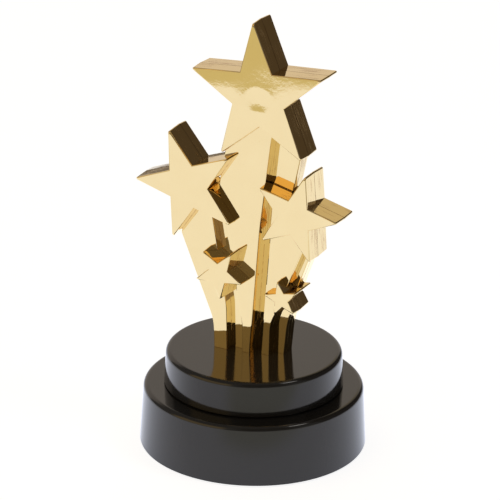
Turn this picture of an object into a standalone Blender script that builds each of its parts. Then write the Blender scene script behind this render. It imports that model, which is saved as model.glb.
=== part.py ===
"""Star trophy: a hollow gilt figure of five stars on flaring tails, screwed to a two-tier black base.

Frame: the origin is the centre of the resting face, +Z is up, the stars face -Y. Units are metres.
"""

from math import acos, atan2, cos, hypot, pi, radians, sin, tan

import bmesh
import bpy
from mathutils import Vector

MM = 0.001

# Base, in mm. Each tier is an upturned cup.
LOWER_FOOT_RADIUS = 38.0
LOWER_TOP_RADIUS = 36.9
LOWER_TOP_Z = 21.1
UPPER_FOOT_RADIUS = 30.0
UPPER_TOP_RADIUS = 29.5
UPPER_TOP_Z = 33.3
TIER_EDGE = 1.7
TIER_WALL = 2.4
RIM_Z = 0.5
CORNER = 1.0
BREAK = 0.4
FIT_GAP = 0.3
CLEARANCE = 0.5
BASE_STEPS = 72

# Parts inside the base, in mm.
PAD_THICKNESS = 1.5
PLATE_THICKNESS = 2.0
PLATE_LEDGE = 1.2
WEIGHT_RADIUS = 30.0
WEIGHT_THICKNESS = 6.0
WEIGHT_BREAK = 0.8
SCREW_Y = 2.0
SCREW_RADIUS = 1.75
SCREW_HOLD = 9.0
SCREW_HEAD_RADIUS = 3.4
SCREW_HEAD_HEIGHT = 2.4
SCREW_HEAD_EDGE = 1.2
SCREW_POINT = 3.0
RECESS_LONG = 2.2
RECESS_WIDE = 0.45
RECESS_DEPTH = 1.3
WASHER_RADIUS = 6.0
WASHER_THICKNESS = 1.0

# Figure, in mm. Every outline lies in the XZ plane and is drawn out along Y.
FOOT_Z = UPPER_TOP_Z + FIT_GAP
FIGURE_WALL = 1.6
PARTING_Y = 2.0
SEAM_GAP = 0.3
DRAFT = tan(radians(1.0))
FACE_EDGE = 0.4
STAR_INNER = 0.39
SOLID_FOOT = 11.0
SMALLEST_HOLLOW_STAR = 8.0
FAR = 60.0
JOIN = 0.02

# Stars: centre x and z, point radius, lean to the left in degrees, front y, back y, rounding of the points,
# and the y of the parting inside the star's outline. The low left star lies wholly in the front shell.
STARS = {
    "top": (2.8, 124.05, 25.9, 4.6, -6.2, 5.5, 0.45, -0.8),
    "left": (-21.9, 89.4, 20.5, 20.9, -8.1, 3.5, 0.45, -0.9),
    "right": (17.2, 85.2, 16.4, -13.7, -6.5, 6.1, 0.45, -0.7),
    "low_left": (-8.5, 61.8, 10.1, -31.0, -10.4, 1.3, 0.35, -0.5),
    "low_right": (13.0, 55.75, 7.2, 13.0, -6.7, 4.7, 0.35, -1.6),
}
SPLIT_STARS = ("top", "left", "right", "low_right")

# Tails: front y at the foot, lean of the front per mm of height, back y and the outline as (x, z, rounding).
# Three raised planks stand proud of two wider plates, and only the planks are hollow.
TAILS = {
    "left_plank": (-6.0, 0.045, 4.0, [
        (-12.0, 30, 0), (-12.7, 42.6, 16), (-25.9, 71, 0), (-23.4, 85, 0),
        (-16.5, 87, 0), (-14, 78.4, 0), (-7.8, 48.9, 25), (-6.7, 30, 0),
    ]),
    "left_plate": (-2.7, 0.04, 4.0, [
        (-11, 30, 0), (-11, 43, 16), (-21.5, 72, 3), (-19, 85, 3),
        (-8, 86, 3), (-3, 60, 0), (-1.5, 44, 0), (-1.5, 30, 0),
    ]),
    "middle_plank": (-5.0, 0.0175, 4.5, [
        (-2.1, 30, 0), (-2.3, 43, 25), (-12.2, 90, 10), (-9.6, 106, 0), (-4, 117, 0),
        (8.6, 117, 0), (7.0, 109, 0), (3.6, 78, 90), (1.1, 36, 0), (1.0, 30, 0),
    ]),
    "right_plank": (-3.5, 0.0, 5.0, [
        (3.9, 30, 0), (7.5, 88, 0), (9, 91, 0), (16, 89, 0),
        (20.4, 76, 0), (7.7, 44.2, 14), (7.5, 30, 0),
    ]),
    "main_plate": (0.0, 0.0, 6.0, [
        (-4.5, 30, 0), (-4.6, 44, 0), (-7.6, 108, 0), (-3, 118, 0), (12, 118, 0), (16.3, 106, 0),
        (12.8, 88.6, 0), (20, 85, 3), (22.2, 76, 2), (16.4, 59.8, 30), (12.2, 44, 30),
        (10.9, 30, 0),
    ]),
}

GOLD = ("gilt_plastic", (0.90, 0.66, 0.25), 1.0, 0.12)
BLACK = ("black_plastic", (0.018, 0.017, 0.016), 0.0, 0.22)
STEEL = ("zinc_steel", (0.62, 0.62, 0.60), 1.0, 0.35)
IRON = ("cast_iron", (0.12, 0.12, 0.12), 0.8, 0.6)
BOARD = ("grey_board", (0.22, 0.21, 0.19), 0.0, 0.85)
FELT = ("black_felt", (0.03, 0.03, 0.03), 0.0, 0.95)


def clear_scene():
    for item in list(bpy.data.objects):
        bpy.data.objects.remove(item, do_unlink=True)


def material(name, colour, metallic, roughness):
    made = bpy.data.materials.get(name)
    if made is None:
        made = bpy.data.materials.new(name)
        made.use_nodes = True
        shader = made.node_tree.nodes["Principled BSDF"]
        shader.inputs["Base Color"].default_value = (*colour, 1.0)
        shader.inputs["Metallic"].default_value = metallic
        shader.inputs["Roughness"].default_value = roughness
    return made


def object_from(name, mesh_maker, finish=None):
    """An object in metres from a bmesh in mm. With no finish it is a helper that the render leaves out."""
    mesh_maker.normal_update()
    bmesh.ops.recalc_face_normals(mesh_maker, faces=mesh_maker.faces)
    bmesh.ops.scale(mesh_maker, vec=(MM, MM, MM), verts=mesh_maker.verts)
    mesh = bpy.data.meshes.new(name)
    mesh_maker.to_mesh(mesh)
    mesh_maker.free()
    made = bpy.data.objects.new(name, mesh)
    bpy.context.scene.collection.objects.link(made)
    if finish is None:
        made.hide_render = True
        made.display_type = "WIRE"
    else:
        mesh.materials.append(material(*finish))
        mesh.shade_smooth()
        mesh.set_sharp_from_angle(angle=radians(25))
    return made


def boolean(target, operation, other, solver="EXACT"):
    modifier = target.modifiers.new(f"{operation.lower()}_{other.name}", "BOOLEAN")
    modifier.operation = operation
    modifier.solver = solver
    modifier.object = other


# Outlines in the XZ plane, as (x, z) points.


def inset(points, distance):
    """The same number of corners, with every side of an anticlockwise outline moved in by the distance."""
    moved = []
    for i, here in enumerate(points):
        before = (here - points[i - 1]).normalized()
        after = (points[(i + 1) % len(points)] - here).normalized()
        left_before = Vector((-before.y, before.x))
        left_after = Vector((-after.y, after.x))
        mitre = left_before + left_after
        moved.append(here + mitre * (2 * distance / mitre.length_squared))
    return moved


def rounded(corners, segments=4):
    """Corners (point, radius) with each rounded corner drawn as an arc."""
    outline = []
    for i, (here, radius) in enumerate(corners):
        if radius <= 0:
            outline.append(here)
            continue
        to_before = (corners[i - 1][0] - here).normalized()
        to_after = (corners[(i + 1) % len(corners)][0] - here).normalized()
        half = acos(max(-1.0, min(1.0, to_before.dot(to_after)))) / 2
        centre = here + (to_before + to_after).normalized() * (radius / sin(half))
        start = here + to_before * (radius / tan(half)) - centre
        end = here + to_after * (radius / tan(half)) - centre
        sweep = (atan2(end.y, end.x) - atan2(start.y, start.x) + pi) % (2 * pi) - pi
        first = atan2(start.y, start.x)
        for step in range(segments + 1):
            angle = first + sweep * step / segments
            outline.append(centre + Vector((cos(angle), sin(angle))) * radius)
    return outline


def star_outline(star, inwards=0.0, round_points=True):
    """An anticlockwise five-pointed star, its sides moved in by a distance."""
    x, z, radius, lean, _, _, tip, _ = STARS[star]
    inner = STAR_INNER * radius
    side = hypot(radius - inner * cos(pi / 5), inner * sin(pi / 5))
    side_from_centre = radius * inner * sin(pi / 5) / side
    scale = (side_from_centre - inwards) / side_from_centre
    corners = []
    for i in range(10):
        reach = scale * (inner if i % 2 else radius)
        angle = radians(90 + lean + 36 * i)
        corner = Vector((x + reach * cos(angle), z + reach * sin(angle)))
        corners.append((corner, tip if round_points and i % 2 == 0 else 0.0))
    return rounded(corners)


def tail_outline(tail, inwards=0.0, round_knees=True):
    """An anticlockwise tail, its sides moved in by a distance."""
    corners = [Vector((x, z)) for x, z, _ in TAILS[tail][3]]
    radii = [rounding if round_knees else 0 for _, _, rounding in TAILS[tail][3]]
    corners.reverse()
    radii.reverse()
    if inwards:
        corners = inset(corners, inwards)
    return rounded(list(zip(corners, radii)))


# Solids, in mm.


def lofted(name, sections):
    """A closed solid through sections (outline, y of a point), all with the same number of points."""
    made = bmesh.new()
    loops = [[made.verts.new((p.x, y_of(p), p.y)) for p in outline] for outline, y_of in sections]
    made.faces.new(loops[0])
    made.faces.new(loops[-1])
    for near, far in zip(loops, loops[1:]):
        for i in range(len(near)):
            j = (i + 1) % len(near)
            made.faces.new((near[i], near[j], far[j], far[i]))
    made.normal_update()
    bmesh.ops.triangulate(made, faces=made.faces)
    return object_from(name, made)


def moulded(name, outline_at, front, lean, back, parting):
    """An outline drawn out along Y: drafted away from the parting, with softened face edges."""

    def front_y(depth):
        return lambda point: front + depth + lean * (point.y - FOOT_Z)

    def flat_y(value):
        return lambda point: value

    soft = FACE_EDGE * (1 - sin(pi / 4))
    front_inset = DRAFT * (parting - front)
    back_inset = DRAFT * (back - parting)
    sections = [
        (outline_at(front_inset + FACE_EDGE), front_y(0.0)),
        (outline_at(front_inset + soft), front_y(soft)),
        (outline_at(front_inset), front_y(FACE_EDGE)),
        (outline_at(0.0), flat_y(parting)),
        (outline_at(back_inset), flat_y(back - FACE_EDGE)),
        (outline_at(back_inset + soft), flat_y(back - soft)),
        (outline_at(back_inset + FACE_EDGE), flat_y(back)),
    ]
    return lofted(name, sections)


def hollow(name, outline_at, front, lean, back, parting):
    """The space inside a moulded outline, one wall thickness in from every side."""
    front_inset = FIGURE_WALL + DRAFT * (parting - front)
    back_inset = FIGURE_WALL + DRAFT * (back - parting)
    sections = [
        (outline_at(front_inset), lambda point: front + FIGURE_WALL + lean * (point.y - FOOT_Z)),
        (outline_at(back_inset), lambda point: back - FIGURE_WALL),
    ]
    return lofted(name, sections)


def box(name, low, high):
    made = bmesh.new()
    bmesh.ops.create_cube(made, size=1.0)
    for vert in made.verts:
        for axis in range(3):
            vert.co[axis] = high[axis] if vert.co[axis] > 0 else low[axis]
    return object_from(name, made)


def cylinder(name, radius, low_z, high_z, at=(0.0, 0.0), segments=32):
    made = bmesh.new()
    bmesh.ops.create_cone(
        made, cap_ends=True, segments=segments, radius1=radius, radius2=radius, depth=high_z - low_z
    )
    bmesh.ops.translate(made, verts=made.verts, vec=(at[0], at[1], (low_z + high_z) / 2))
    return object_from(name, made)


def turned(name, profile, finish, at=(0.0, 0.0), steps=BASE_STEPS):
    """A solid of revolution from (radius, z) points that start and end on the axis, or close."""
    made = bmesh.new()
    points = [made.verts.new((radius, 0.0, z)) for radius, z in profile]
    on_axis = profile[0][0] == 0 and profile[-1][0] == 0
    pairs = list(zip(points, points[1:])) + ([] if on_axis else [(points[-1], points[0])])
    edges = [made.edges.new(pair) for pair in pairs]
    bmesh.ops.spin(
        made, geom=points + edges, cent=(0, 0, 0), axis=(0, 0, 1), angle=2 * pi, steps=steps, use_merge=True
    )
    bmesh.ops.remove_doubles(made, verts=made.verts, dist=1e-4)
    bmesh.ops.translate(made, verts=made.verts, vec=(at[0], at[1], 0.0))
    return object_from(name, made, finish)


def arc(centre, radius, start, end, segments):
    """Points of (radius, z) round a centre, the angles in degrees from +r towards +z."""
    angles = [radians(start + (end - start) * i / segments) for i in range(segments + 1)]
    return [(centre[0] + radius * cos(a), centre[1] + radius * sin(a)) for a in angles]


# The named pieces.


def tier_profile(foot_radius, top_radius, foot_z, top_z):
    edge = arc((top_radius - TIER_EDGE, top_z - TIER_EDGE), TIER_EDGE, 0, 90, 6)
    inner_top = top_radius - TIER_WALL
    inner_foot = foot_radius - TIER_WALL
    ceiling = top_z - TIER_WALL
    return [
        (0.0, ceiling), (inner_top - CORNER, ceiling), (inner_top, ceiling - CORNER), (inner_foot, foot_z),
        (foot_radius - BREAK, foot_z), (foot_radius, foot_z + BREAK), *edge, (0.0, top_z),
    ]


def make_base():
    lower = turned(
        "base_lower_tier", tier_profile(LOWER_FOOT_RADIUS, LOWER_TOP_RADIUS, RIM_Z, LOWER_TOP_Z), BLACK
    )
    upper = turned(
        "base_upper_tier",
        tier_profile(UPPER_FOOT_RADIUS, UPPER_TOP_RADIUS, LOWER_TOP_Z + FIT_GAP, UPPER_TOP_Z),
        BLACK,
    )
    screw_hole = cylinder("screw_hole", SCREW_RADIUS + CLEARANCE, 0, FOOT_Z + 5, (0, SCREW_Y))
    weight_top = LOWER_TOP_Z - TIER_WALL - FIT_GAP
    weight_foot = weight_top - WEIGHT_THICKNESS
    weight = turned(
        "base_weight",
        [
            (0, weight_foot), (WEIGHT_RADIUS - WEIGHT_BREAK, weight_foot),
            (WEIGHT_RADIUS, weight_foot + WEIGHT_BREAK), (WEIGHT_RADIUS, weight_top - WEIGHT_BREAK),
            (WEIGHT_RADIUS - WEIGHT_BREAK, weight_top), (0, weight_top),
        ],
        IRON,
        steps=48,
    )
    for piece in (lower, upper, weight):
        boolean(piece, "DIFFERENCE", screw_hole)
    make_screw(weight_foot)
    make_closure()


def make_screw(clamp_z):
    """The screw that pulls the figure, both tiers and the weight together, and the washer under its head."""
    washer_top = clamp_z - FIT_GAP
    washer_foot = washer_top - WASHER_THICKNESS
    hole = SCREW_RADIUS + CLEARANCE
    turned(
        "screw_washer",
        [
            (hole, washer_foot), (WASHER_RADIUS, washer_foot),
            (WASHER_RADIUS, washer_top), (hole, washer_top),
        ],
        STEEL,
        (0, SCREW_Y),
        steps=32,
    )
    head_top = washer_foot - FIT_GAP
    head_foot = head_top - SCREW_HEAD_HEIGHT
    tip_z = FOOT_Z + SCREW_HOLD
    dome = arc((SCREW_HEAD_RADIUS - SCREW_HEAD_EDGE, head_foot + SCREW_HEAD_EDGE), SCREW_HEAD_EDGE, -90, 0, 4)
    screw = turned(
        "figure_screw",
        [
            (0, head_foot), *dome, (SCREW_HEAD_RADIUS, head_top), (SCREW_RADIUS, head_top),
            (SCREW_RADIUS, tip_z - SCREW_POINT), (BREAK, tip_z), (0, tip_z),
        ],
        STEEL,
        (0, SCREW_Y),
        steps=32,
    )
    for i, half in enumerate(((RECESS_LONG, RECESS_WIDE), (RECESS_WIDE, RECESS_LONG))):
        recess = box(
            f"cross_recess_{i}",
            (-half[0], SCREW_Y - half[1], head_foot - 1),
            (half[0], SCREW_Y + half[1], head_foot + RECESS_DEPTH),
        )
        boolean(screw, "DIFFERENCE", recess)


def make_closure():
    """The board that closes the lower tier, and the felt pad glued under it."""
    inner_foot = LOWER_FOOT_RADIUS - TIER_WALL
    plate_foot = PAD_THICKNESS + FIT_GAP
    plate_radius = inner_foot - PLATE_LEDGE / 2 - FIT_GAP
    turned(
        "closing_plate",
        [
            (0, plate_foot), (plate_radius, plate_foot),
            (plate_radius, plate_foot + PLATE_THICKNESS), (0, plate_foot + PLATE_THICKNESS),
        ],
        BOARD,
        steps=48,
    )
    turned(
        "felt_pad",
        [
            (0, 0), (plate_radius - BREAK, 0), (plate_radius, BREAK),
            (plate_radius, PAD_THICKNESS), (0, PAD_THICKNESS),
        ],
        FELT,
        steps=48,
    )


def figure_shapes():
    """The whole outside of the figure and the whole space inside it, as two helpers."""
    outside, inside = [], []
    for star, (_, _, radius, _, front, back, _, parting) in STARS.items():
        spans = (front, 0.0, back, parting)
        outside.append(moulded(f"{star}_star", lambda d, s=star: star_outline(s, d), *spans))
        if radius > SMALLEST_HOLLOW_STAR:
            inside.append(hollow(f"{star}_star_space", lambda d, s=star: star_outline(s, d, False), *spans))
    for tail, (front, lean, back, _) in TAILS.items():
        spans = (front, lean, back, PARTING_Y)
        outside.append(moulded(f"{tail}_tail", lambda d, t=tail: tail_outline(t, d), *spans))
        if tail.endswith("plank"):
            inside.append(hollow(f"{tail}_tail_space", lambda d, t=tail: tail_outline(t, d, False), *spans))
    for group in (outside, inside):
        for other in group[1:]:
            boolean(group[0], "UNION", other, "MANIFOLD")
    below = box("below_foot", (-FAR, -FAR, 0), (FAR, FAR, FOOT_Z))
    boolean(outside[0], "DIFFERENCE", below, "MANIFOLD")
    solid_foot = box("solid_foot", (-FAR, -FAR, 0), (FAR, FAR, FOOT_Z + SOLID_FOOT))
    boolean(inside[0], "DIFFERENCE", solid_foot, "MANIFOLD")
    return outside[0], inside[0]


def finished(name, helper, finish):
    """The helper's shape with its modifiers worked out, as a named piece."""
    shape = helper.evaluated_get(bpy.context.evaluated_depsgraph_get())
    mesh = bpy.data.meshes.new_from_object(shape)
    mesh.name = name
    mesh.materials.clear()
    mesh.materials.append(material(*finish))
    mesh.shade_smooth()
    mesh.set_sharp_from_angle(angle=radians(25))
    made = bpy.data.objects.new(name, mesh)
    bpy.context.scene.collection.objects.link(made)
    return made


def step_parting(star, front, rear):
    """Moves the parting forward inside a star's outline, in the spaces that cut out the two half shells."""
    parting = STARS[star][-1]
    taken = lofted(
        f"{star}_star_taken",
        [
            (star_outline(star, -SEAM_GAP), lambda point: parting - SEAM_GAP / 2),
            (star_outline(star, -SEAM_GAP), lambda point: PARTING_Y + 1),
        ],
    )
    given = lofted(
        f"{star}_star_given",
        [
            (star_outline(star, -JOIN), lambda point: parting + SEAM_GAP / 2),
            (star_outline(star, -JOIN), lambda point: PARTING_Y + 1),
        ],
    )
    boolean(front, "DIFFERENCE", taken, "MANIFOLD")
    boolean(rear, "UNION", given, "MANIFOLD")


def make_figure():
    outside, inside = figure_shapes()
    half_gap = SEAM_GAP / 2
    front = box("front_space", (-FAR, -FAR, 0), (FAR, PARTING_Y - half_gap, 3 * FAR))
    rear = box("rear_space", (-FAR, PARTING_Y + half_gap, 0), (FAR, FAR, 3 * FAR))
    pilot_hole = cylinder("pilot_hole", SCREW_RADIUS + FIT_GAP, 0, FOOT_Z + SCREW_HOLD + 1, (0, SCREW_Y))
    for star in SPLIT_STARS:
        step_parting(star, front, rear)
    for name, space in (("figure_front_shell", front), ("figure_rear_shell", rear)):
        boolean(space, "INTERSECT", outside, "MANIFOLD")
        boolean(space, "DIFFERENCE", inside, "MANIFOLD")
        boolean(space, "DIFFERENCE", pilot_hole, "MANIFOLD")
        finished(name, space, GOLD)


def main():
    clear_scene()
    make_base()
    make_figure()


main()
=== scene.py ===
"""Looks of the star trophy: materials, finer shapes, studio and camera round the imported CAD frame."""

from math import cos, pi, radians, sin

import bmesh
import bpy
from mathutils import Matrix, Vector


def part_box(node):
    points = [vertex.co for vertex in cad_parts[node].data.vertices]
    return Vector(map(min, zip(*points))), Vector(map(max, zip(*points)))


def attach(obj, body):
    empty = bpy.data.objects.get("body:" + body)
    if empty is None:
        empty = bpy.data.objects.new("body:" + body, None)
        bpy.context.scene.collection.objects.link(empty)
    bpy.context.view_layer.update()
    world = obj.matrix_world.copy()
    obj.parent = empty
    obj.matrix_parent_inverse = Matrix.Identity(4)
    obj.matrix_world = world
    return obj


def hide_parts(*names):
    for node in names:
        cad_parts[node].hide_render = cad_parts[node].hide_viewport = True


MM = 0.001

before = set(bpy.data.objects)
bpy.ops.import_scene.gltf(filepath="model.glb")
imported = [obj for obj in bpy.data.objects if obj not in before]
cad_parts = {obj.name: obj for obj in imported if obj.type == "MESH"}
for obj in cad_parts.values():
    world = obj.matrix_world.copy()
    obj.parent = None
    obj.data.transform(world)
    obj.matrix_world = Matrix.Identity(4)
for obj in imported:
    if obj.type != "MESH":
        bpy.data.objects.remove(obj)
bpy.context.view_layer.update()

# Seam planes of the half shells, in mm, and how far each side is brought towards the seam.
PARTINGS_Y = (2.0, -0.7, -0.8, -0.9, -1.6)
SEAM_HALF_GAP = 0.15
SHOWN_HALF_GAP = 0.06

# Gap between the figure's foot and the base, in mm, as shown.
SHOWN_FOOT_GAP = 0.03

# Neighbouring faces within this cosine of each other are one flat face.
FLAT_COSINE = cos(radians(0.4))

# Two faces that are both larger than this, in square mm, meet in a sharp edge above this angle.
LARGE_FACE = 3.0
LARGE_FACE_ANGLE = radians(12)


class Graph:
    """Short calls that add nodes to one node tree."""

    def __init__(self, tree):
        self.tree = tree
        tree.nodes.clear()

    def node(self, kind, inputs=None, **settings):
        made = self.tree.nodes.new(kind)
        for name, value in settings.items():
            setattr(made, name, value)
        for name, value in (inputs or {}).items():
            self.put(value, made.inputs[name])
        return made

    def put(self, value, socket):
        if isinstance(value, bpy.types.NodeSocket):
            self.tree.links.new(value, socket)
        elif isinstance(value, tuple) and len(value) == 3 and socket.type == "RGBA":
            socket.default_value = (*value, 1.0)
        else:
            socket.default_value = value

    def math(self, operation, *values):
        made = self.tree.nodes.new("ShaderNodeMath")
        made.operation = operation
        for value, socket in zip(values, made.inputs):
            self.put(value, socket)
        return made.outputs[0]

    def vector(self, operation, *values):
        made = self.tree.nodes.new("ShaderNodeVectorMath")
        made.operation = operation
        for value, socket in zip(values, made.inputs):
            self.put(value, socket)
        gives_number = operation in ("DOT_PRODUCT", "LENGTH", "DISTANCE")
        return made.outputs["Value" if gives_number else "Vector"]

    def rise(self, value, low, high):
        """0 at low, 1 at high, with a soft start and end."""
        made = self.node(
            "ShaderNodeMapRange",
            {"Value": value, "From Min": low, "From Max": high},
            interpolation_type="SMOOTHSTEP",
        )
        return made.outputs["Result"]

    def band(self, value, low, high, soft):
        """1 between low and high, falling to 0 over a soft edge at each end."""
        up = self.rise(value, low - soft, low + soft)
        down = self.rise(value, high + soft, high - soft)
        return self.math("MULTIPLY", up, down)

    def mix(self, share, first, second):
        made = self.node("ShaderNodeMix", data_type="RGBA")
        self.put(share, made.inputs[0])
        self.put(first, made.inputs[6])
        self.put(second, made.inputs[7])
        return made.outputs[2]

    def noise(self, vector, scale, detail=2.0, roughness=0.5, distortion=0.0):
        made = self.node(
            "ShaderNodeTexNoise",
            {
                "Vector": vector,
                "Scale": scale,
                "Detail": detail,
                "Roughness": roughness,
                "Distortion": distortion,
            },
        )
        return made.outputs["Fac"]

    def millimetres(self, stretch=(1.0, 1.0, 1.0)):
        """Object coordinates in mm, optionally stretched."""
        where = self.node("ShaderNodeTexCoord").outputs["Object"]
        return self.vector("MULTIPLY", where, tuple(s / MM for s in stretch))

    def bump(self, height_mm):
        made = self.node("ShaderNodeBump", {"Height": height_mm, "Strength": 1.0, "Distance": MM})
        return made.outputs["Normal"]

    def surface(self, shader):
        out = self.node("ShaderNodeOutputMaterial")
        self.put(shader, out.inputs["Surface"])


def new_material(name):
    made = bpy.data.materials.new(name)
    made.use_nodes = True
    return made, Graph(made.node_tree)


# Materials


DEEP_GOLD = (0.84, 0.65, 0.33)
PALE_GOLD = (0.88, 0.70, 0.37)
EDGE_GOLD = (0.50, 0.24, 0.07)

# How far a worn edge reaches from its corner.
WORN_EDGE = 0.45 * MM

# Shallow sinks in the front faces: centre x and z, radius and depth, all in mm.
SINKS = [
    (4.6, 129.5, 13.0, 0.075),
    (3.2, 122.0, 6.0, 0.060),
    (3.0, 111.8, 8.0, 0.090),
    (-20.9, 78.0, 4.0, 0.090),
]


def gilt():
    made, g = new_material("bright_gilt_plastic")
    where = g.millimetres()
    parts = g.node("ShaderNodeSeparateXYZ", {"Vector": where})
    flat = g.node("ShaderNodeCombineXYZ", {"X": parts.outputs["X"], "Z": parts.outputs["Z"]}).outputs[0]
    height = None
    for x, z, radius, depth in SINKS:
        away = g.vector("DISTANCE", flat, (x, 0.0, z))
        sink = g.math("MULTIPLY", g.rise(away, 0.0, radius), depth)
        height = sink if height is None else g.math("ADD", height, sink)
    # The moulding is slightly wavy, and its skin slightly uneven.
    wave = g.math("MULTIPLY", g.noise(where, 0.06, 1.0), 0.02)
    height = g.math("ADD", height, wave)
    skin = g.math("MULTIPLY", g.noise(where, 0.9, 3.0, 0.6), 0.004)
    height = g.math("ADD", height, skin)
    normal = g.bump(height)
    # The plating wears brown along the edges.
    rounding = g.node("ShaderNodeBevel", {"Radius": WORN_EDGE}, samples=6).outputs["Normal"]
    geometry = g.node("ShaderNodeNewGeometry").outputs["True Normal"]
    turned_away = g.math("SUBTRACT", 1.0, g.vector("DOT_PRODUCT", rounding, geometry))
    edge = g.rise(turned_away, 0.01, 0.25)
    worn = g.math("MULTIPLY", edge, g.rise(g.noise(where, 0.5, 3.0), 0.32, 0.58))
    # The side walls carry patches of brownish streaks drawn along the mould's opening direction.
    facing = g.math("ABSOLUTE", g.vector("DOT_PRODUCT", geometry, (0.0, 1.0, 0.0)))
    on_wall = g.rise(facing, 0.35, 0.15)
    drawn = g.noise(g.millimetres((0.10, 1.1, 0.10)), 1.0, 4.0, 0.6, 0.8)
    patch = g.rise(g.noise(where, 0.11, 2.0), 0.40, 0.62)
    streak = g.math("MULTIPLY", g.math("MULTIPLY", g.rise(drawn, 0.50, 0.68), patch), on_wall)
    tone = g.mix(g.noise(where, 0.12, 3.0), DEEP_GOLD, PALE_GOLD)
    brown = g.math("MAXIMUM", g.math("MULTIPLY", worn, 0.75), g.math("MULTIPLY", streak, 0.55))
    colour = g.mix(brown, tone, EDGE_GOLD)
    roughness = g.math("ADD", 0.012, g.math("MULTIPLY", g.noise(where, 0.35, 4.0), 0.025))
    roughness = g.math("ADD", roughness, g.math("MULTIPLY", worn, 0.12))
    roughness = g.math("ADD", roughness, g.math("MULTIPLY", streak, 0.28))
    shader = g.node(
        "ShaderNodeBsdfPrincipled",
        {
            "Base Color": colour,
            "Metallic": g.math("SUBTRACT", 1.0, g.math("MULTIPLY", streak, 0.30)),
            "Roughness": roughness,
            "Normal": normal,
        },
    )
    g.surface(shader.outputs[0])
    return made


def black_plastic():
    made, g = new_material("polished_black_plastic")
    where = g.millimetres()
    cloud = g.noise(where, 0.08, 3.0)
    colour = g.mix(cloud, (0.015, 0.0145, 0.014), (0.021, 0.020, 0.019))
    fine = g.noise(where, 2.5, 2.0)
    wave = g.noise(where, 0.05, 1.0)
    height = g.math("ADD", g.math("MULTIPLY", fine, 0.0006), g.math("MULTIPLY", wave, 0.03))
    haze = g.noise(where, 0.25, 4.0, 0.6)
    roughness = g.math("ADD", 0.07, g.math("MULTIPLY", haze, 0.05))
    shader = g.node(
        "ShaderNodeBsdfPrincipled",
        {
            "Base Color": colour,
            "Roughness": roughness,
            "IOR": 1.5,
            "Specular Tint": (1.0, 0.95, 0.89),
            "Normal": g.bump(height),
        },
    )
    g.surface(shader.outputs[0])
    return made


def felt():
    made, g = new_material("black_felt")
    where = g.millimetres()
    nap = g.noise(where, 3.0, 6.0, 0.7, 1.5)
    colour = g.mix(nap, (0.012, 0.012, 0.013), (0.055, 0.055, 0.058))
    shader = g.node(
        "ShaderNodeBsdfPrincipled",
        {
            "Base Color": colour,
            "Roughness": 0.95,
            "Sheen Weight": 0.35,
            "Sheen Roughness": 0.6,
            "Normal": g.bump(g.math("MULTIPLY", nap, 0.25)),
        },
    )
    g.surface(shader.outputs[0])
    return made


def fibreboard():
    made, g = new_material("grey_fibreboard")
    fibres = g.noise(g.millimetres((1.0, 0.25, 1.0)), 1.6, 5.0, 0.65, 0.8)
    colour = g.mix(fibres, (0.13, 0.12, 0.10), (0.27, 0.25, 0.22))
    shader = g.node(
        "ShaderNodeBsdfPrincipled",
        {"Base Color": colour, "Roughness": 0.88, "Normal": g.bump(g.math("MULTIPLY", fibres, 0.06))},
    )
    g.surface(shader.outputs[0])
    return made


def cast_iron():
    made, g = new_material("rough_cast_iron")
    where = g.millimetres()
    grain = g.noise(where, 1.4, 5.0, 0.7)
    rust = g.rise(g.noise(where, 0.16, 4.0), 0.56, 0.68)
    colour = g.mix(rust, (0.10, 0.10, 0.10), (0.16, 0.075, 0.035))
    shader = g.node(
        "ShaderNodeBsdfPrincipled",
        {
            "Base Color": colour,
            "Metallic": g.math("SUBTRACT", 0.8, g.math("MULTIPLY", rust, 0.7)),
            "Roughness": g.math("ADD", 0.5, g.math("MULTIPLY", grain, 0.25)),
            "Normal": g.bump(g.math("MULTIPLY", grain, 0.15)),
        },
    )
    g.surface(shader.outputs[0])
    return made


def zinc():
    made, g = new_material("bright_zinc")
    where = g.millimetres()
    spangle = g.noise(where, 0.9, 3.0)
    colour = g.mix(spangle, (0.52, 0.53, 0.55), (0.70, 0.69, 0.64))
    shader = g.node(
        "ShaderNodeBsdfPrincipled",
        {
            "Base Color": colour,
            "Metallic": 1.0,
            "Roughness": g.math("ADD", 0.26, g.math("MULTIPLY", spangle, 0.15)),
            "Normal": g.bump(g.math("MULTIPLY", g.noise(where, 4.0, 2.0), 0.01)),
        },
    )
    g.surface(shader.outputs[0])
    return made


# Shapes


def shown_piece(name, maker, material, node, smooth_angle, weigh=True):
    """A visible piece that stands for one CAD node."""
    mesh = bpy.data.meshes.new(name)
    for face in maker.faces:
        face.smooth = True
    for edge in maker.edges:
        smallest = min(face.calc_area() for face in edge.link_faces)
        allowed = LARGE_FACE_ANGLE if smallest > LARGE_FACE * MM * MM else smooth_angle
        edge.smooth = edge.calc_face_angle(0.0) < allowed
    maker.to_mesh(mesh)
    maker.free()
    for layer in [item for item in mesh.attributes if item.name in ("custom_normal", "sharp_face")]:
        mesh.attributes.remove(layer)
    mesh.materials.append(material)
    made = bpy.data.objects.new(name, mesh)
    bpy.context.scene.collection.objects.link(made)
    if weigh:
        weighted = made.modifiers.new("flat_faces_stay_flat", "WEIGHTED_NORMAL")
        weighted.keep_sharp = True
        weighted.weight = 100
    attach(made, "root")
    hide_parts(node)
    return made


def flat_regions(mesh, neighbours):
    """For each face, the area of the flat region that it belongs to."""
    region = [None] * len(mesh.polygons)
    areas = []
    for start in range(len(mesh.polygons)):
        if region[start] is not None:
            continue
        region[start] = len(areas)
        waiting = [start]
        area = 0.0
        while waiting:
            face = waiting.pop()
            area += mesh.polygons[face].area
            for other in neighbours[face]:
                level = mesh.polygons[face].normal.dot(mesh.polygons[other].normal) > FLAT_COSINE
                if region[other] is None and level:
                    region[other] = len(areas)
                    waiting.append(other)
        areas.append(area)
    return [areas[index] for index in region]


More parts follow.
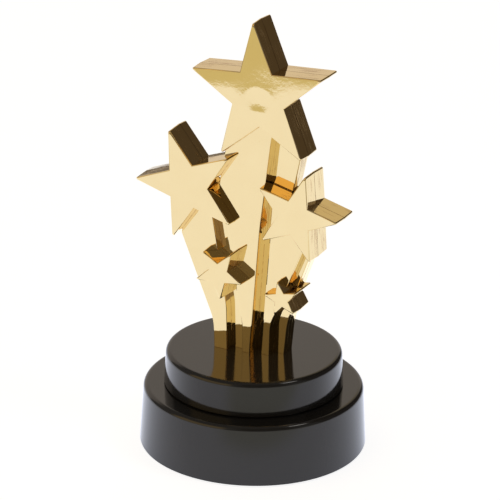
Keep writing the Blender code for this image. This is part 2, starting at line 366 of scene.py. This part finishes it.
def keep_flats_flat(mesh):
    """Corner normals that follow the largest flat region at each corner, so that only roundings bend."""
    sides = {}
    for face in mesh.polygons:
        for key in face.edge_keys:
            sides.setdefault(key, []).append(face.index)
    sharp = {edge.key for edge in mesh.edges if edge.use_edge_sharp}
    neighbours = [[] for _ in mesh.polygons]
    smooth_sides = {}
    for key, pair in sides.items():
        if len(pair) != 2:
            continue
        neighbours[pair[0]].append(pair[1])
        neighbours[pair[1]].append(pair[0])
        if key not in sharp:
            for corner in key:
                smooth_sides.setdefault(corner, []).append(pair)
    areas = flat_regions(mesh, neighbours)
    corner_normals = [None] * len(mesh.loops)
    for face in mesh.polygons:
        for loop in face.loop_indices:
            group = {face.index}
            grown = True
            while grown:
                grown = False
                for first, second in smooth_sides.get(mesh.loops[loop].vertex_index, ()):
                    if (first in group) != (second in group):
                        group |= {first, second}
                        grown = True
            total = Vector((0.0, 0.0, 0.0))
            for other in group:
                total += mesh.polygons[other].normal * areas[other] ** 2
            corner_normals[loop] = total.normalized()
    mesh.normals_split_custom_set(corner_normals)


def half_shell(name, node, side, material):
    """The CAD half shell with clean faces and its seam faces brought close to the other half's."""
    made = bmesh.new()
    made.from_mesh(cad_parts[node].data)
    bmesh.ops.remove_doubles(made, verts=made.verts, dist=0.002 * MM)
    closer = (SEAM_HALF_GAP - SHOWN_HALF_GAP) * MM
    for parting in PARTINGS_Y:
        plane = (parting + side * SEAM_HALF_GAP) * MM
        for vert in made.verts:
            if abs(vert.co.y - plane) < 0.004 * MM:
                vert.co.y -= side * closer
    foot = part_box(node)[0].z
    base_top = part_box("base_upper_tier")[1].z
    for vert in made.verts:
        if vert.co.z - foot < 0.004 * MM:
            vert.co.z = base_top + SHOWN_FOOT_GAP * MM
    bmesh.ops.recalc_face_normals(made, faces=made.faces)
    shown = shown_piece(name, made, material, node, radians(40), weigh=False)
    keep_flats_flat(shown.data)
    return shown


# Base tiers, in mm: wall thickness, roundings, and how finely they are turned.
TIER_WALL = 2.4
TIER_EDGE = 1.7
INNER_CORNER = 1.0
RIM_BREAK = 0.2
LOWER_TAPER = 1.1
UPPER_TAPER = 0.5
EDGE_STEPS = 12
TURN_STEPS = 192


def tier(name, node, taper, material):
    """A base tier turned finely: an upturned cup with a rounded top edge."""
    low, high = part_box(node)
    foot = high.x / MM
    top = foot - taper
    foot_z, top_z = low.z / MM, high.z / MM
    inner_top = top - TIER_WALL
    inner_foot = foot - TIER_WALL
    ceiling = top_z - TIER_WALL
    profile = [
        (0.0, ceiling), (inner_top - INNER_CORNER, ceiling), (inner_top, ceiling - INNER_CORNER),
        (inner_foot, foot_z + RIM_BREAK), (inner_foot + RIM_BREAK, foot_z),
        (foot - 0.5, foot_z), (foot - 0.15, foot_z + 0.12), (foot, foot_z + 0.45),
    ]
    for i in range(EDGE_STEPS + 1):
        angle = pi / 2 * i / EDGE_STEPS
        profile.append((top - TIER_EDGE + TIER_EDGE * cos(angle), top_z - TIER_EDGE + TIER_EDGE * sin(angle)))
    profile += [(top - TIER_EDGE - 0.3, top_z), (0.0, top_z)]
    made = bmesh.new()
    points = [made.verts.new((radius * MM, 0.0, z * MM)) for radius, z in profile]
    edges = [made.edges.new(pair) for pair in zip(points, points[1:])]
    bmesh.ops.spin(
        made,
        geom=points + edges,
        cent=(0, 0, 0),
        axis=(0, 0, 1),
        angle=2 * pi,
        steps=TURN_STEPS,
        use_merge=True,
    )
    bmesh.ops.remove_doubles(made, verts=made.verts, dist=1e-7)
    bmesh.ops.recalc_face_normals(made, faces=made.faces)
    return shown_piece(name, made, material, node, radians(40))


def dress(node, material):
    """A procedural material on a CAD node that stays as it is."""
    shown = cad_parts[node]
    shown.data.materials.clear()
    shown.data.materials.append(material)


gold = gilt()
black = black_plastic()
steel = zinc()
half_shell("figure_front", "figure_front_shell", -1, gold)
half_shell("figure_rear", "figure_rear_shell", 1, gold)
tier("lower_tier", "base_lower_tier", LOWER_TAPER, black)
tier("upper_tier", "base_upper_tier", UPPER_TAPER, black)
dress("base_weight", cast_iron())
dress("closing_plate", fibreboard())
dress("felt_pad", felt())
dress("figure_screw", steel)
dress("screw_washer", steel)


# Studio

# The camera's direction and tilt, and its place in mm: away from, across and above the origin.
CAMERA_AZIMUTH = radians(27.83)
CAMERA_ELEVATION = radians(22.22)
CAMERA_ROLL = radians(0.91)
CAMERA_PLACE = (1085.7, -0.901, 63.32)
CAMERA_LENS = 231.6
PAPER_WHITE = (0.86, 0.92, 1.08)


def pale_floor():
    """A glowing floor, white to the camera; reflections see soft zones of painted light and shade in its
    glow, placed in metres from the base.
    """
    made, g = new_material("pale_floor")
    where = g.node("ShaderNodeTexCoord").outputs["Object"]
    to_front_left = (-sin(CAMERA_AZIMUTH), -cos(CAMERA_AZIMUTH), 0.0)
    to_front_right = (sin(CAMERA_AZIMUTH), -cos(CAMERA_AZIMUTH), 0.0)
    to_back_right = (sin(CAMERA_AZIMUTH + 0.05), cos(CAMERA_AZIMUTH + 0.05), 0.0)
    # Painted shade in the floor's glow: dimmer zones far to the left, near and far to the right, and far
    # behind on the right.
    painted_shade_far_left = g.rise(g.vector("DOT_PRODUCT", where, to_front_left), 0.367, 0.373)
    towards_camera = g.vector("DOT_PRODUCT", where, to_front_right)
    right_side = g.rise(g.vector("DOT_PRODUCT", where, (1.0, 0.0, 0.0)), -0.02, 0.02)
    painted_shade_near_right = g.math("MULTIPLY", g.rise(towards_camera, 0.06, 0.09), right_side)
    painted_shade_far_right = g.rise(towards_camera, 0.32, 0.37)
    back_right = g.rise(g.vector("DOT_PRODUCT", where, to_back_right), 0.40, 0.46)
    # Painted light in the floor's glow: a brighter pool beside the base.
    painted_glow_beside_base = g.math(
        "MULTIPLY", g.rise(g.vector("LENGTH", where), 0.14, 0.10), g.rise(towards_camera, 0.05, -0.03)
    )
    painted_glow = g.mix(painted_glow_beside_base, PAPER_WHITE, tuple(1.3 * c for c in PAPER_WHITE))
    painted_glow = g.mix(painted_shade_near_right, painted_glow, (0.66, 0.70, 0.66))
    painted_glow = g.mix(painted_shade_far_left, painted_glow, (0.53, 0.49, 0.27))
    painted_glow = g.mix(painted_shade_far_right, painted_glow, (0.13, 0.11, 0.12))
    painted_glow = g.mix(back_right, painted_glow, (0.05, 0.04, 0.035))
    camera = g.node("ShaderNodeLightPath").outputs["Is Camera Ray"]
    colour = g.mix(camera, painted_glow, (0.87, 0.87, 0.87))
    glow = g.node("ShaderNodeEmission", {"Color": colour, "Strength": 1.0})
    matt = g.node("ShaderNodeBsdfDiffuse", {"Color": (0.6, 0.6, 0.6)})
    both = g.node("ShaderNodeAddShader")
    g.put(glow.outputs[0], both.inputs[0])
    g.put(matt.outputs[0], both.inputs[1])
    g.surface(both.outputs[0])
    return made


def make_floor():
    made = bmesh.new()
    bmesh.ops.create_grid(made, x_segments=1, y_segments=1, size=6.0)
    mesh = bpy.data.meshes.new("floor")
    made.to_mesh(mesh)
    made.free()
    mesh.materials.append(pale_floor())
    floor = bpy.data.objects.new("floor", mesh)
    bpy.context.scene.collection.objects.link(floor)


def make_world():
    """White to the camera; reflections see a dim room with soft bright and dark zones."""
    world = bpy.data.worlds.new("studio")
    world.use_nodes = True
    g = Graph(world.node_tree)
    towards = g.node("ShaderNodeTexCoord").outputs["Generated"]
    parts = g.node("ShaderNodeSeparateXYZ", {"Vector": towards})
    azimuth = g.math("MULTIPLY", g.math("ARCTAN2", parts.outputs["X"], parts.outputs["Y"]), 180 / pi)
    elevation = g.math("MULTIPLY", g.math("ARCSINE", parts.outputs["Z"]), 180 / pi)
    colour = (0.20, 0.19, 0.18)
    zones = [
        # azimuth low, high, elevation low, high, soft edge, colour
        (-80.0, -3.0, -15.0, 38.0, 4.0, (0.75, 0.67, 0.59)),
        (-26.0, -3.0, 26.0, 44.0, 3.0, (0.64, 0.54, 0.36)),
        (2.0, 80.0, -15.0, 60.0, 4.0, (0.070, 0.052, 0.036)),
        (-178.0, -120.0, 3.0, 38.0, 6.0, (1.05, 0.76, 0.35)),
        (110.0, 170.0, 3.0, 60.0, 8.0, (0.080, 0.065, 0.045)),
    ]
    for left, right, low, high, soft, shade in zones:
        inside = g.math(
            "MULTIPLY", g.band(azimuth, left, right, soft), g.band(elevation, low, high, soft)
        )
        colour = g.mix(inside, colour, shade)
    camera = g.node("ShaderNodeLightPath").outputs["Is Camera Ray"]
    colour = g.mix(camera, colour, (1.0, 1.0, 1.0))
    background = g.node("ShaderNodeBackground", {"Color": colour, "Strength": 1.0})
    out = g.node("ShaderNodeOutputWorld")
    g.put(background.outputs[0], out.inputs["Surface"])
    bpy.context.scene.world = world


def make_softbox(name, towards, distance, size, radiance):
    light = bpy.data.lights.new(name, "AREA")
    light.shape = "DISK"
    light.size = size
    light.energy = radiance * pi * pi * size * size / 4
    lamp = bpy.data.objects.new(name, light)
    direction = Vector(towards).normalized()
    lamp.location = direction * distance
    lamp.rotation_mode = "QUATERNION"
    lamp.rotation_quaternion = direction.to_track_quat("Z", "Y")
    bpy.context.scene.collection.objects.link(lamp)


def make_camera():
    azimuth, elevation, roll = CAMERA_AZIMUTH, CAMERA_ELEVATION, CAMERA_ROLL
    back = Vector((sin(azimuth) * cos(elevation), -cos(azimuth) * cos(elevation), sin(elevation)))
    right = Vector((cos(azimuth), sin(azimuth), 0.0))
    up = back.cross(right)
    across = right * cos(roll) + up * sin(roll)
    upward = up * cos(roll) - right * sin(roll)
    camera = bpy.data.cameras.new("camera")
    camera.sensor_width = 36.0
    camera.lens = CAMERA_LENS
    holder = bpy.data.objects.new("camera", camera)
    away, sideways, above = CAMERA_PLACE
    place = (back * away + across * sideways + upward * above) * MM
    turn = Matrix((across, upward, back)).transposed().to_4x4()
    holder.matrix_world = Matrix.Translation(place) @ turn
    camera.clip_start = 0.05
    camera.clip_end = 20.0
    bpy.context.scene.collection.objects.link(holder)
    bpy.context.scene.camera = holder


make_floor()
make_world()
make_softbox("high_right_softbox", (0.523, 0.046, 0.851), 0.9, 0.22, 3.5)
make_camera()
bpy.context.scene.view_settings.view_transform = "Standard"
bpy.context.scene.view_settings.look = "None"
